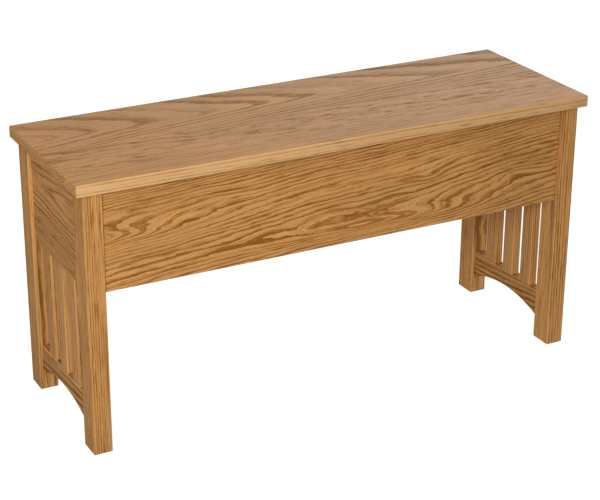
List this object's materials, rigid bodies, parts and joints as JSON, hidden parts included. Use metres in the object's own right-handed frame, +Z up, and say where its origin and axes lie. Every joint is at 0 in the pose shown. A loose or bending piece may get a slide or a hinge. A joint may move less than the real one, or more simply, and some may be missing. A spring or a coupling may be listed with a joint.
{
  "type": "storage bench",
  "caption": "Backless mission settle in oak: a lift-up seat over a storage box on four square legs, with slats over an arched rail at each end.",
  "frame": {"origin": "on the floor, under the middle of the seat board", "axes": "+X along the settle to its right-hand end as seen from the front, +Y from front to back, +Z up"},
  "size_m": [0.911, 0.302, 0.458],
  "materials": {
    "oak": "satin medium golden oak",
    "cleat_wood": "unstained oak, sanded",
    "plywood": "clear satin plywood",
    "brass": "satin brass",
    "steel": "zinc plated"
  },
  "bodies": {
    "frame": {"front_apron": "oak", "rear_apron": "oak", "leg_front_left": "oak", "leg_rear_left": "oak", "end_apron_left": "oak", "bottom_rail_left": "oak", "slat_left_front": "oak", "slat_left_middle": "oak", "slat_left_rear": "oak", "leg_front_right": "oak", "leg_rear_right": "oak", "end_apron_right": "oak", "bottom_rail_right": "oak", "slat_right_front": "oak", "slat_right_middle": "oak", "slat_right_rear": "oak", "bottom_panel": "plywood", "cleat_front": "cleat_wood", "cleat_rear": "cleat_wood", "cleat_left": "cleat_wood", "cleat_right": "cleat_wood", "hinge_frame_leaf_left": "brass", "hinge_frame_leaf_right": "brass", "hinge_pin_left": "brass", "hinge_pin_right": "brass", "hinge_frame_screws": "brass", "cleat_screws": "steel", "panel_screws": "steel"},
    "lid": {"lid": "oak", "hinge_lid_leaf_left": "brass", "hinge_lid_leaf_right": "brass", "hinge_lid_screws": "brass"}
  },
  "joints": [
    {"name": "lid_hinge", "type": "hinge", "parent": "frame", "child": "lid", "pos_m": [0, 0.14661, 0.439], "axis": [-1, 0, 0], "range_deg": [0, 99.5]}
  ]
}
